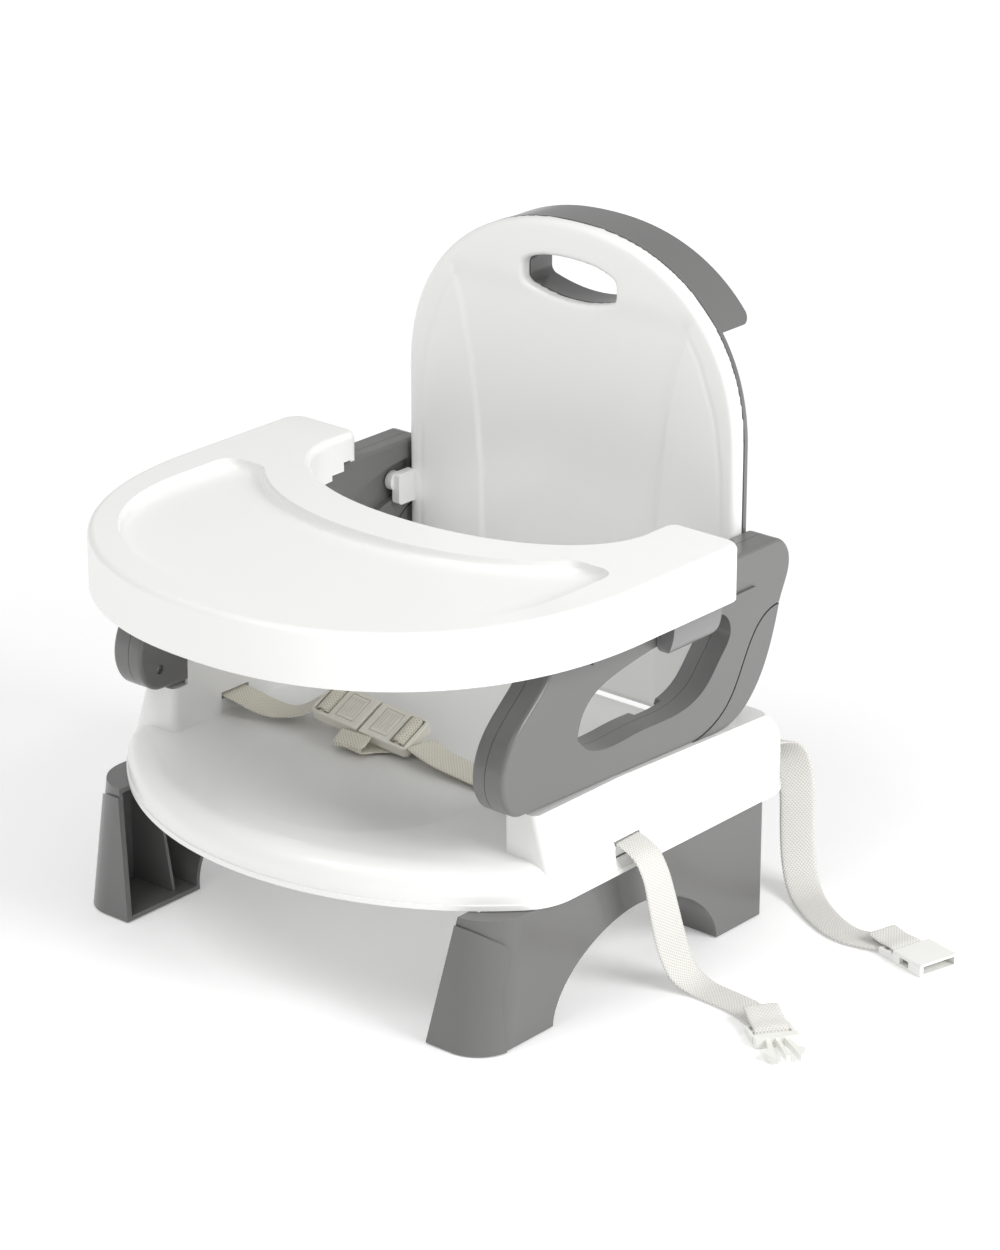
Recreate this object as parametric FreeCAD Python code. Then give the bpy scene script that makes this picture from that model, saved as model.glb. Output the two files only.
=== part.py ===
import FreeCAD, Part

import math
import os

from FreeCAD import Matrix, Placement, Vector

# Folding booster high chair, in millimetres.
# Origin: on the floor under the middle of the chair. +X to the child's left, +Y to the back, +Z up.

# ---- driving dimensions ----
WALL = 3.0
FLOOR_GAP = 0.8

SEAT_HALF = 190.0
SEAT_REAR = 178.0
SEAT_FRONT_R = 245.0
SEAT_FRONT_Y = 77.0
FLANGE_Z = 91.0
SEAT_Z = 117.0
SEAT_PLATE = 4.0
DISH_R = 88.0
DISH_Y = -45.0
DISH_DEPTH = 4.0
RISER_X = 147.0
RISER_TOP = 147.0
RISER_FRONT = -76.0
SHOULDER = (146.0, 22.0)

LEG_OUT = 183.0
LEG_IN_FLOOR = 135.0
LEG_IN_TOP = 152.0
LEG_TOP = 90.5
LEG_FRONT = -137.0
LEG_REAR = 154.5
LEG_CORNER_R = 26.0
LEG_TOP_FRONT = -126.0
LEG_TOP_CORNER_R = 32.0
ARCH_Y = 18.0
ARCH_HALF = 86.0
ARCH_HEIGHT = 56.0
LEG_PIVOT = (150.0, 82.0)
LEG_STATIONS = (-60.0, 78.0)
COVER_SKIN = 1.5

ARM_IN = 147.0
ARM_SEAM = 158.0
ARM_OUT = 173.0
ARM_TOP = 266.0
SEAM_LINE = 0.4
UPSTAND = (-62.0, 84.0, 170.0)

PIVOT_Y = 168.0
PIVOT_Z = 126.0
TRACK_IN = 101.0
TRACK_OUT = 126.0
TRACK_DEPTH = 5.0
GUIDE_R = 7.0
GUIDE_ANGLE = 9.0

BACK_HALF = 145.5
BACK_FRONT = 163.0
BACK_SPLIT = 173.0
BACK_REAR = 178.0
BACK_BOTTOM = 119.5
BACK_TOP = 452.5
BACK_SHOULDER = 320.0
BACK_POWER = 2.2
RIM_REAR = 208.0
HOLE_REAR = 196.0

TRAY_HALF = 200.0
TRAY_FRONT = -208.0
TRAY_MID = -2.0
TRAY_REAR = 104.5
TRAY_POWER = 2.2
TRAY_TOP = 290.0
TRAY_BOTTOM = 252.0
CUT_HALF = 138.5
CUT_Y = 78.0
CUT_DEPTH = 82.0
TRAY_WALL = 2.6

LATCH_PIVOT = (187.0, 262.0)
LATCH_Y = (46.0, 96.0)

WEB = 25.0
WEB_T = 1.6
BUCKLE_AT = Vector(-40.0, 5.0, 131.0)


# ---- small helpers ----
def box(x0, x1, y0, y1, z0, z1):
    return Part.makeBox(x1 - x0, y1 - y0, z1 - z0, Vector(x0, y0, z0))


def rod(radius, start, end):
    start, end = Vector(*start), Vector(*end)
    return Part.makeCylinder(radius, (end - start).Length, start, end - start)


def mirrored(shape):
    return shape.mirror(Vector(0, 0, 0), Vector(1, 0, 0))


def fused(shapes):
    whole = shapes[0]
    for other in shapes[1:]:
        whole = whole.fuse(other)
    return whole.removeSplitter()


def line(a, b):
    return Part.LineSegment(a, b).toShape()


def arc(a, mid, b):
    return Part.Arc(a, mid, b).toShape()


def spline(points):
    curve = Part.BSplineCurve()
    curve.interpolate(Points=points)
    return curve.toShape()


def polygon(points):
    return [line(points[i], points[(i + 1) % len(points)]) for i in range(len(points))]


def prism(edges, along):
    face = Part.Face(Part.Wire(Part.sortEdges(edges)[0]))
    return face.extrude(along)


def yz(x, points):
    return [Vector(x, y, z) for y, z in points]


def half_superellipse(a, b, power, steps=9):
    """Points (u, v) over the top half, from u = a round to u = -a."""
    points = []
    for i in range(2 * steps + 1):
        t = math.pi * i / (2 * steps)
        c, s = math.cos(t), math.sin(t)
        u = a * math.copysign(abs(c) ** (2 / power), c)
        v = b * abs(s) ** (2 / power)
        points.append((u, v))
    return points


def fillet(shape, radius, wanted):
    edges = [edge for edge in shape.Edges if wanted(edge)]
    if not edges:
        raise ValueError("no edge to round")
    return shape.makeFillet(radius, edges)


def middle(edge):
    return edge.valueAt((edge.FirstParameter + edge.LastParameter) / 2)


def upright_at(x, y, reach=1.0):
    """Picks the upright edges that stand at one place in plan."""
    def wanted(edge):
        bounds = edge.BoundBox
        upright = bounds.XLength < 1e-3 and bounds.YLength < 1e-3
        at = middle(edge)
        return upright and abs(at.x - x) < reach and abs(at.y - y) < reach
    return wanted


def at_height(z):
    """Picks the level edges at one height."""
    def wanted(edge):
        bounds = edge.BoundBox
        return abs(bounds.ZMin - z) < 1e-3 and abs(bounds.ZMax - z) < 1e-3
    return wanted


def save(name, shape):
    solids = shape.Solids
    whole = solids[0] if len(solids) == 1 else Part.makeCompound(solids)
    whole.exportStep("parts/" + name + ".step")
    print(name, len(solids), "solids", round(whole.Volume / 1000, 2), "cm3", "valid", whole.isValid())


def save_pair(name, shape):
    """The shape is drawn on the +X side; the other side is its mirror image."""
    save(name + "_right", shape)
    save(name + "_left", mirrored(shape))


# ---- seat base ----
def seat_plan(inset, z0, z1, corner=45.0, rear_corner=25.0):
    half, rear, radius = SEAT_HALF - inset, SEAT_REAR - inset, SEAT_FRONT_R - inset
    side = SEAT_FRONT_Y - math.sqrt(radius ** 2 - half ** 2)
    front = SEAT_FRONT_Y - radius
    a, b = Vector(-half, side, z0), Vector(half, side, z0)
    c, d = Vector(half, rear, z0), Vector(-half, rear, z0)
    edges = [arc(a, Vector(0, front, z0), b), line(b, c), line(c, d), line(d, a)]
    solid = prism(edges, Vector(0, 0, z1 - z0))
    for x in (-half, half):
        solid = fillet(solid, corner - inset, upright_at(x, side))
        solid = fillet(solid, rear_corner - inset, upright_at(x, rear))
    return solid


def track_ring(x0, x1, inner, outer, start, end):
    """A sector of a ring about the backrest's pivot; angles lean forward from upright."""
    def point(radius, degrees):
        t = math.radians(degrees)
        return Vector(x0, PIVOT_Y - radius * math.sin(t), PIVOT_Z + radius * math.cos(t))
    mid = (start + end) / 2
    edges = [
        arc(point(outer, start), point(outer, mid), point(outer, end)),
        line(point(outer, end), point(inner, end)),
        arc(point(inner, end), point(inner, mid), point(inner, start)),
        line(point(inner, start), point(outer, start)),
    ]
    return prism(edges, Vector(x1 - x0, 0, 0))


def guide_track(x0, depth):
    return track_ring(x0, x0 + depth, TRACK_IN, TRACK_OUT, -4.0, 96.0)


def riser(plan):
    """The side wall that carries an arm: it leans in to the arm's foot and is round-shouldered behind."""
    top = RISER_TOP + 2
    section = [(RISER_X, SEAT_Z - 14), (189.5, SEAT_Z - 14), (174.5, top), (RISER_X, top)]
    edges = polygon([Vector(x, RISER_FRONT, z) for x, z in section])
    block = prism(edges, Vector(0, SEAT_REAR - RISER_FRONT, 0))
    block = fillet(block, 5.0, lambda e: abs(middle(e).y - RISER_FRONT) < 0.5 and e.BoundBox.ZLength > 20)
    shoulder_top, shoulder_r = SHOULDER
    rounded = fillet(seat_plan(0, FLANGE_Z, shoulder_top), shoulder_r, at_height(shoulder_top))
    rear_space = box(RISER_X - 1, SEAT_HALF + 5, 110, SEAT_REAR + 5, SEAT_Z, RISER_TOP + 10)
    return block.common(plan).cut(rear_space.cut(rounded))


def arm_foot_plane():
    """Everything above the sloping line on which the arms stand."""
    edges = polygon(yz(-220, [(-140, 154.7), (200, 141.6), (200, 320), (-140, 320)]))
    return prism(edges, Vector(440, 0, 0))


def seat_base():
    plan = seat_plan(0, FLANGE_Z - 1, 200)
    body = seat_plan(0, FLANGE_Z, SEAT_Z)
    body = fillet(body, 17.0, at_height(SEAT_Z))
    side = riser(plan)
    bead = seat_plan(-1.0, FLANGE_Z, FLANGE_Z + 3.6).cut(seat_plan(1.0, FLANGE_Z - 1, FLANGE_Z + 5))
    body = fused([body, side, mirrored(side), bead])
    cavity = seat_plan(WALL, FLANGE_Z - 1, SEAT_Z - SEAT_PLATE)
    cavity = fillet(cavity, 14.0, at_height(SEAT_Z - SEAT_PLATE))
    body = body.cut(cavity)
    well = Part.makeCylinder(DISH_R - 6, SEAT_PLATE + 4, Vector(0, DISH_Y, SEAT_Z - SEAT_PLATE - 6.5))
    body = body.fuse(well)
    dish_sphere = (DISH_R ** 2 + DISH_DEPTH ** 2) / (2 * DISH_DEPTH)
    dish = Part.makeSphere(dish_sphere, Vector(0, DISH_Y, SEAT_Z - DISH_DEPTH + dish_sphere))
    dish = dish.common(Part.makeCylinder(DISH_R + 5, 12, Vector(0, DISH_Y, SEAT_Z - 10)))
    hollow = box(156, 171, RISER_FRONT + 12, SEAT_REAR - 32, FLANGE_Z, RISER_TOP - 6)
    hollow = hollow.fuse(box(170, 176, RISER_FRONT + 12, SEAT_REAR - 32, FLANGE_Z, 128))
    side_cuts = [hollow]
    side_cuts.append(box(174, 195, -11.5, 14.5, 109.6, 112.8))
    scoop = Part.makeCylinder(13.0, 30, Vector(199.5, -13.5, 104.0), Vector(0, 1, 0))
    side_cuts.append(fillet(scoop, 4.0, lambda e: e.Curve.TypeId == "Part::GeomCircle"))
    side_cuts.append(box(151, 177, SEAT_REAR - 34, SEAT_REAR + 5, 116.0, 119.0))
    side_cuts.append(box(RISER_X - 1, RISER_X + 12, -30.0, -3.0, 127.6, 132.4))
    side_cuts.append(rod(4.05, (140, PIVOT_Y, PIVOT_Z), (160, PIVOT_Y, PIVOT_Z)))
    cuts = [dish, box(-13.5, 13.5, 18.5, 23.0, 95, 130), arm_foot_plane()]
    for shape in side_cuts:
        cuts += [shape, mirrored(shape)]
    for shape in cuts:
        body = body.cut(shape)
    y0, y1, top = UPSTAND
    upstand = box(RISER_X, RISER_X + WALL, y0, y1, RISER_TOP - 4, top)
    upstand = fillet(upstand, 6.0, lambda e: e.BoundBox.XLength > 2 and abs(middle(e).z - top) < 0.01)
    body = fused([body, upstand, mirrored(upstand)])
    track = guide_track(RISER_X - 1, TRACK_DEPTH + 1)
    body = body.cut(track).cut(mirrored(track))
    lugs = []
    for y in LEG_STATIONS:
        for y0 in (y - 8.4, y + 3.4):
            lug = rod(6.0, (LEG_PIVOT[0], y0, LEG_PIVOT[1]), (LEG_PIVOT[0], y0 + 5, LEG_PIVOT[1]))
            lug = lug.fuse(box(LEG_PIVOT[0] - 6, LEG_PIVOT[0] + 6, y0, y0 + 5, LEG_PIVOT[1], SEAT_Z - 3))
            bore = rod(2.5, (LEG_PIVOT[0], y0 - 1, LEG_PIVOT[1]), (LEG_PIVOT[0], y0 + 6, LEG_PIVOT[1]))
            lug = lug.cut(bore)
            lugs += [lug, mirrored(lug)]
    for y in (-36.0, 1.0):
        rib = box(155, 171.5, y, y + 3, 112, RISER_TOP - 3)
        lugs += [rib, mirrored(rib)]
    return fused([body] + lugs)


# ---- legs ----
def leg_arch(grow, x0, x1):
    points = half_superellipse(ARCH_HALF + grow, ARCH_HEIGHT + grow, 1.8)
    track = [Vector(x0, ARCH_Y + u, FLOOR_GAP + v) for u, v in points]
    top = spline(track)
    low = FLOOR_GAP - 3
    a, b = track[0], track[-1]
    c, d = Vector(x0, b.y, low), Vector(x0, a.y, low)
    return prism([top, line(b, c), line(c, d), line(d, a)], Vector(x1 - x0, 0, 0))


def leg_section(grow, z):
    """The leg's plan at one height: the front corner is rounder and further back as it rises."""
    share = (z - FLOOR_GAP) / (LEG_TOP - FLOOR_GAP)
    front = LEG_FRONT + (LEG_TOP_FRONT - LEG_FRONT) * share - grow
    radius = LEG_CORNER_R + (LEG_TOP_CORNER_R - LEG_CORNER_R) * share + grow
    out, rear = LEG_OUT + grow, LEG_REAR + grow
    start, end = Vector(out - radius, front, z), Vector(out, front + radius, z)
    mid = Vector(out - radius * (1 - math.sqrt(0.5)), front + radius * (1 - math.sqrt(0.5)), z)
    a, b, c = Vector(out, rear, z), Vector(90, rear, z), Vector(90, front, z)
    return Part.Wire([line(c, start), arc(start, mid, end), line(end, a), line(a, b), line(b, c)])


def leg_body(grow, bottom, top):
    body = Part.makeLoft([leg_section(grow, bottom), leg_section(grow, top)], True, True)
    return fillet(body, 4.0 + grow, upright_at(LEG_OUT + grow, LEG_REAR + grow))


def lean_cut(offset):
    """Everything inside the leg's open side, which leans outward as it rises."""
    low, high = LEG_IN_FLOOR + offset, LEG_IN_TOP + offset
    edges = polygon([Vector(low, -200, 0), Vector(high, -200, LEG_TOP), Vector(high, -200, 120),
                     Vector(60, -200, 120), Vector(60, -200, -5), Vector(low, -200, -5)])
    return prism(edges, Vector(0, 400, 0))


def leg_outer():
    body = leg_body(0, FLOOR_GAP, LEG_TOP)
    return body.cut(leg_arch(0, 60, 200)).cut(lean_cut(0))


def pad_blocks():
    return [box(138, 162, -118, -82, 0, 2.4), box(142, 176, 112, 144, 0, 2.4)]


def leg():
    cavity = leg_body(-WALL, FLOOR_GAP + WALL, LEG_TOP - WALL)
    cavity = cavity.cut(leg_arch(WALL, 60, 200))
    body = leg_outer().cut(cavity)
    within = leg_body(-1, FLOOR_GAP + 1, LEG_TOP - 1)
    ribs = [box(120, LEG_OUT - 1, y, y + 2.5, 2, LEG_TOP - 1) for y in (-88.0, ARCH_Y - 1.2, 126.0)]
    ribs = [rib.common(within).cut(leg_arch(1, 60, 200)).cut(lean_cut(6)) for rib in ribs]
    body = fused([body] + ribs)
    px, pz = LEG_PIVOT
    body = body.cut(box(140, px + 8, LEG_TOP_FRONT + 14, LEG_REAR - 12, LEG_TOP - 4, LEG_TOP + 1))
    ears = []
    for y in LEG_STATIONS:
        ear = rod(6.0, (px, y - 3, pz), (px, y + 3, pz))
        ear = ear.fuse(box(px, px + 14, y - 3, y + 3, pz - 4, LEG_TOP - 1))
        ear = ear.cut(box(px - 7, px + 7.5, y - 4, y + 4, LEG_TOP - 2.4, LEG_TOP + 3))
        ears.append(ear.cut(rod(2.56, (px, y - 4, pz), (px, y + 4, pz))))
    body = fused([body] + ears)
    for pad in pad_blocks():
        body = body.cut(pad)
    return body


def leg_corner_cover():
    """A skin over the front corner; its rear edge is a long S down the side."""
    skin = leg_body(COVER_SKIN, FLOOR_GAP, 86.0)
    core = leg_body(0, FLOOR_GAP - 2, 90.0)
    skin = skin.cut(core).cut(lean_cut(0.0))
    track = yz(100, [(-136, 89), (-127, 84.5), (-118, 78), (-112, 73), (-110.3, 68.5), (-112, 60),
                     (-115.5, 48), (-117, 32), (-116.5, 15), (-114.5, -2)])
    low, high = Vector(100, 220, -2), Vector(100, 220, 89)
    edge = spline(track)
    ends = [line(track[-1], low), line(low, high), line(high, track[0])]
    return skin.cut(prism([edge] + ends, Vector(100, 0, 0)))


# ---- arms ----
ARM_FRONT = [(-60.7, 241.6), (-81.9, 221.0), (-96.0, 207.5), (-104.2, 193.5), (-107.0, 177.3),
             (-103.0, 163.5), (-95.5, 155.4), (-86.4, 152.7)]
ARM_COVER_SEAM = [(85.0, 146.1), (100.0, 148.2), (125.4, 162.3), (141.1, 186.3), (156.9, 209.5), (180.3, 218.3)]
ARM_COVER_OUT = [(85.0, 146.1), (122.4, 145.0), (137.3, 149.4), (156.2, 164.6), (169.7, 186.8), (180.3, 218.3)]
ARM_REAR = [(180.3, 218.3), (186.0, 231.0), (190.3, 244.0), (189.5, 252.5), (184.1, 260.8), (174.6, 265.7)]


def arm_edges(x):
    points = yz(x, [ARM_FRONT[-1], ARM_COVER_SEAM[0]])
    edges = [spline(yz(x, ARM_FRONT)), line(points[0], points[1])]
    edges.append(spline(yz(x, ARM_COVER_SEAM)))
    edges.append(spline(yz(x, ARM_REAR)))
    rear_top, front_top = Vector(x, ARM_REAR[-1][0], ARM_REAR[-1][1]), Vector(x, -36.0, ARM_TOP - 0.3)
    start = Vector(x, ARM_FRONT[0][0], ARM_FRONT[0][1])
    edges += [line(rear_top, front_top), arc(front_top, Vector(x, -50.5, 256.5), start)]
    return edges


def window(x, length, grow=0.0):
    g = grow
    low = [(-33 - g, 188), (-24, 178.8 - g), (31, 173.1 - g), (79, 173.8 - g), (97, 180.4 - g),
           (117 + g, 200.5), (125.5 + g, 213), (121 + g, 226 + g), (109, 229.5 + g)]
    top = [(109, 229.5 + g), (52, 228.0 + g), (12, 222.9 + g), (-21, 211.4 + g), (-33 - g, 188)]
    edges = [spline(yz(x, low)), spline(yz(x, top))]
    return prism(edges, Vector(length, 0, 0))


SCREWS = [(-88.0, 168.0), (-40.0, 240.0), (40.0, 247.0), (138.0, 212.0)]


def inset_loop(edges, distance, count=60):
    """A smooth loop that runs a fixed distance inside an outline drawn across X."""
    points = Part.Wire(Part.sortEdges(edges)[0]).discretize(Number=count + 1)[:-1]
    area = sum(a.y * b.z - b.y * a.z for a, b in zip(points, points[1:] + points[:1]))
    moved = []
    for i, point in enumerate(points):
        along = (points[(i + 1) % count] - points[i - 1]).normalize()
        moved.append(point + Vector(0, -along.z, along.y) * math.copysign(distance, area))
    curve = Part.BSplineCurve()
    curve.interpolate(Points=moved, PeriodicFlag=True)
    return curve.toShape()


def arm_half(inner):
    x0, x1 = (ARM_IN, ARM_SEAM) if inner else (ARM_SEAM + SEAM_LINE, ARM_OUT)
    skin = ARM_IN if inner else ARM_OUT
    body = prism(arm_edges(x0), Vector(x1 - x0, 0, 0))
    body = fillet(body, 3.0, lambda e: abs(e.BoundBox.XMin - skin) < 1e-3 and e.BoundBox.XLength < 1e-3)
    hole = window(ARM_IN - 2, 40)
    face_wall = TRACK_DEPTH + 2.6 if inner else WALL
    c0, c1 = (x0 + face_wall, x1 + 1) if inner else (x0 - 1, x1 - face_wall)
    pocket = prism([inset_loop(arm_edges(c0), WALL)], Vector(c1 - c0, 0, 0))
    pocket = pocket.cut(window(ARM_IN - 2, 40, WALL))
    body = body.cut(pocket)
    posts = [rod(5.0, (x0 + 2, y, z), (x1, y, z)) for y, z in SCREWS]
    body = fused([body] + posts)
    body = body.cut(hole)
    if inner:
        y0, y1, top = UPSTAND
        body = body.cut(guide_track(ARM_IN - 1, TRACK_DEPTH + 1))
        body = body.cut(box(ARM_IN - 1, ARM_IN + WALL + 0.3, y0 - 0.3, y1 + 0.3, 130, top + 0.3))
    else:
        body = body.fuse(box(ARM_OUT - 0.5, ARM_OUT + 2, -20, 150, 236.0, 239.5)).removeSplitter()
    for y, z in SCREWS:
        body = body.cut(rod(1.6, (ARM_IN - 2, y, z), (ARM_OUT - 3.5, y, z)))
        body = body.cut(rod(3.4, (ARM_IN - 2, y, z), (ARM_IN + 4.0, y, z)))
    return body


def arm_rear_cover():
    gap = 0.3
    edges = [spline(yz(ARM_IN + 0.6, [(y + gap, z - gap) for y, z in outline]))
             for outline in (ARM_COVER_SEAM, ARM_COVER_OUT)]
    body = prism(edges, Vector(ARM_OUT - ARM_IN - 1.2, 0, 0))
    edge_x = (ARM_IN + 0.6, ARM_OUT - 0.6)
    outline = ARM_COVER_OUT[2:5]

    def wanted(edge):
        bounds, at = edge.BoundBox, middle(edge)
        flat = bounds.XLength < 1e-3 and min(abs(bounds.XMin - x) for x in edge_x) < 1e-3
        return flat and at.y > outline[0][0] and at.z < 190
    body = fillet(body, 2.0, wanted)
    return body.common(arm_foot_plane())


def screw(at, length, head_r=3.0, shaft_r=1.45, along=Vector(1, 0, 0)):
    head = Part.makeCylinder(head_r, 1.8, at, along)
    shaft = Part.makeCylinder(shaft_r, length, at, along)
    slot = Part.makeBox(1.0, 1.0, 3.6, Vector(-0.5, -0.5, -1.8))
    cross = slot.fuse(Part.makeBox(1.0, 3.6, 1.0, Vector(-0.5, -1.8, -0.5)))
    cross.rotate(Vector(0, 0, 0), Vector(0, 0, 1), math.degrees(math.atan2(along.y, along.x)))
    cross.translate(at)
    return head.fuse(shaft).cut(cross)


def arm_screws():
    right = [screw(Vector(ARM_IN + 2.2, y, z), 16.0) for y, z in SCREWS]
    return Part.makeCompound(right + [mirrored(each) for each in right])


# ---- backrest ----
def back_outline(y, inset, bottom):
    half = BACK_HALF - inset
    rise = BACK_TOP - inset - BACK_SHOULDER
    points = [Vector(u, y, BACK_SHOULDER + v) for u, v in half_superellipse(half, rise, BACK_POWER)]
    a, b = points[0], points[-1]
    c, d = Vector(-half, y, bottom), Vector(half, y, bottom)
    return [spline(points), line(b, c), line(c, d), line(d, a)]


def handle_hole(y0, y1, grow=0.0):
    g = grow
    top = [(-41, 419), (-24, 425.6), (0, 427.4), (24, 425.6), (41, 419)]
    low = [(41, 404.5), (20, 399), (0, 397.2), (-20, 399), (-41, 404.5)]
    top = [Vector(x * (1 + g / 44), y0, z + g) for x, z in top]
    low = [Vector(x * (1 + g / 44), y0, z - g) for x, z in low]
    edges = [spline(top), line(top[-1], low[0]), spline(low), line(low[-1], top[0])]
    solid = prism(edges, Vector(0, y1 - y0, 0))
    return fillet(solid, 6.0 + g, lambda e: e.BoundBox.XLength < 1e-3 and e.BoundBox.ZLength < 1e-3)


def backrest_front_panel():
    depth = BACK_SPLIT - BACK_FRONT
    body = prism(back_outline(BACK_FRONT, 0, BACK_BOTTOM), Vector(0, depth, 0))
    body = fillet(body, 5.0, lambda e: abs(e.BoundBox.YMax - BACK_FRONT) < 1e-3)
    inner = prism(back_outline(BACK_FRONT + WALL, WALL, BACK_BOTTOM + WALL), Vector(0, depth, 0))
    inner = inner.cut(handle_hole(BACK_FRONT, BACK_SPLIT + 5, WALL))
    posts = [rod(4.0, (x, BACK_FRONT + 2, z), (x, BACK_SPLIT, z)) for x, z in BACK_SCREWS]
    body = fused([body.cut(inner)] + posts)
    for x, z in BACK_SCREWS:
        body = body.cut(rod(1.5, (x, BACK_FRONT + 2.5, z), (x, BACK_SPLIT + 1, z)))
    for x in (-BACK_HALF, BACK_HALF):
        body = body.cut(rod(4.0, (x - 9, PIVOT_Y, PIVOT_Z), (x + 9, PIVOT_Y, PIVOT_Z)))
    body = body.cut(handle_hole(BACK_FRONT - 1, BACK_SPLIT + 1))
    return fillet(body, 3.0, lambda e: abs(e.BoundBox.YMax - BACK_FRONT) < 1e-3 and abs(middle(e).x) < 60
                  and 390 < middle(e).z < 435)


BACK_SCREWS = [(-118.0, 345.0), (118.0, 345.0), (-118.0, 175.0), (118.0, 175.0), (-70.0, 415.0), (70.0, 415.0)]


def hood_reach():
    """The space the hood fills, seen from the side; its lower rear corner is rounded."""
    radius = 9.0
    rear, low = RIM_REAR + 0.5, 398.0
    start, end = Vector(-200, rear - radius, low), Vector(-200, rear, low + radius)
    mid = Vector(-200, rear - radius * (1 - math.sqrt(0.5)), low + radius * (1 - math.sqrt(0.5)))
    front, top = Vector(-200, 150, low), BACK_TOP + 10
    edges = [line(front, start), arc(start, mid, end), line(end, Vector(-200, rear, top)),
             line(Vector(-200, rear, top), Vector(-200, 150, top)), line(Vector(-200, 150, top), front)]
    return prism(edges, Vector(400, 0, 0))


def backrest_rear_shell():
    body = prism(back_outline(BACK_SPLIT, 0, BACK_BOTTOM), Vector(0, BACK_REAR - BACK_SPLIT, 0))
    body = fillet(body, 2.5, lambda e: abs(e.BoundBox.YMin - BACK_REAR) < 1e-3)
    hood = prism(back_outline(BACK_REAR - 3, 0.6, 300), Vector(0, RIM_REAR - BACK_REAR + 3, 0))
    inner = prism(back_outline(BACK_REAR - 4, 4.6, 290), Vector(0, 60, 0))
    hood = hood.cut(inner).common(hood_reach())
    sleeve = handle_hole(BACK_REAR - 1, HOLE_REAR, 3.4)
    pad = rod(10, (-70, BACK_REAR - 1, 415), (-70, BACK_REAR + 1.5, 415))
    body = fused([body, hood, sleeve, pad, mirrored(pad)])
    body = body.cut(handle_hole(BACK_SPLIT - 1, HOLE_REAR + 1))
    for x, z in BACK_SCREWS:
        body = body.cut(rod(1.7, (x, BACK_SPLIT - 1, z), (x, BACK_REAR + 5, z)))
        body = body.cut(rod(3.4, (x, BACK_REAR - 2.2, z), (x, BACK_REAR + 5, z)))
    for x in (-60, -30, 0, 30, 60):
        body = body.cut(box(x - 2, x + 2, BACK_REAR - 1.2, BACK_REAR + 1, 190, 330))
    return body


def backrest_screws():
    made = []
    for x, z in BACK_SCREWS:
        one = screw(Vector(0, 0, 0), 9.5)
        one.rotate(Vector(0, 0, 0), Vector(0, 0, 1), -90)
        one.translate(Vector(x, BACK_REAR - 0.4, z))
        made.append(one)
    return Part.makeCompound(made)


def backrest_guide():
    """The bracket on the panel's side edge and its round stud, which rides in the arm's arc track."""
    t = math.radians(GUIDE_ANGLE)
    radius = (TRACK_IN + TRACK_OUT) / 2
    y, z = PIVOT_Y - radius * math.sin(t), PIVOT_Z + radius * math.cos(t)
    stud = rod(GUIDE_R, (ARM_IN - 2.2, y, z), (ARM_IN + TRACK_DEPTH - 1.0, y, z))
    stud = fillet(stud, 1.0, lambda e: abs(e.BoundBox.XMin - ARM_IN - TRACK_DEPTH + 1.0) < 1e-3)
    bracket = box(139.5, ARM_IN - 0.9, y - 4, BACK_FRONT + 0.0, z - 16, z + 7)
    bracket = fillet(bracket, 3.0, lambda e: abs(middle(e).y - y + 4) < 0.01 and e.BoundBox.XLength > 1)
    return bracket.fuse(stud).removeSplitter()


# ---- tray ----
def tray_outline(z, inset):
    half, depth = TRAY_HALF - inset, TRAY_MID - TRAY_FRONT - inset
    rear = TRAY_REAR - inset
    front = [Vector(u, TRAY_MID - v, z) for u, v in half_superellipse(half, depth, TRAY_POWER)]
    cut_half, cut_depth = CUT_HALF + inset, CUT_DEPTH + inset
    cut = [Vector(u, CUT_Y - v, z) for u, v in half_superellipse(cut_half, cut_depth, 2.1)]
    right, left = Vector(half, rear, z), Vector(-half, rear, z)
    right_in, left_in = Vector(cut_half, rear, z), Vector(-cut_half, rear, z)
    return [spline(front), line(front[-1], left), line(left, left_in), line(left_in, cut[-1]),
            spline(cut), line(cut[0], right_in), line(right_in, right), line(right, front[0])]


def tray_block(inset, z0, z1, outer_r=14.0, inner_r=9.0):
    solid = prism(tray_outline(z0, inset), Vector(0, 0, z1 - z0))
    for side in (-1, 1):
        x_out, x_in = side * (TRAY_HALF - inset), side * (CUT_HALF + inset)
        solid = fillet(solid, outer_r - inset, upright_at(x_out, TRAY_REAR - inset))
        solid = fillet(solid, inner_r - inset, upright_at(x_in, TRAY_REAR - inset))
    return solid


def tray_dish(grow, z0, z1):
    """The crescent food well: an oval front, and a hollow back that follows the tray's cut-out."""
    half, mid, depth, rear = 171.0 + grow, -40.0, 143.0 + grow, 8.0 + grow
    front = [Vector(u, mid - v, z0) for u, v in half_superellipse(half, depth, TRAY_POWER)]
    right, left = Vector(half, rear, z0), Vector(-half, rear, z0)
    oval = prism([spline(front), line(front[-1], left), line(left, right), line(right, front[0])],
                 Vector(0, 0, z1 - z0))
    back = [Vector(u, CUT_Y - v, z0 - 1) for u, v in half_superellipse(165.0 - grow, 121.0 - grow, 2.1)]
    hollow = prism([spline(back), line(back[-1], back[0])], Vector(0, 0, z1 - z0 + 2))
    dish = oval.cut(hollow)
    corner = [e for e in dish.Edges if e.BoundBox.ZLength > 1 and abs(middle(e).y - rear) < 1]
    return dish.makeFillet(13.0, corner)


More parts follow.
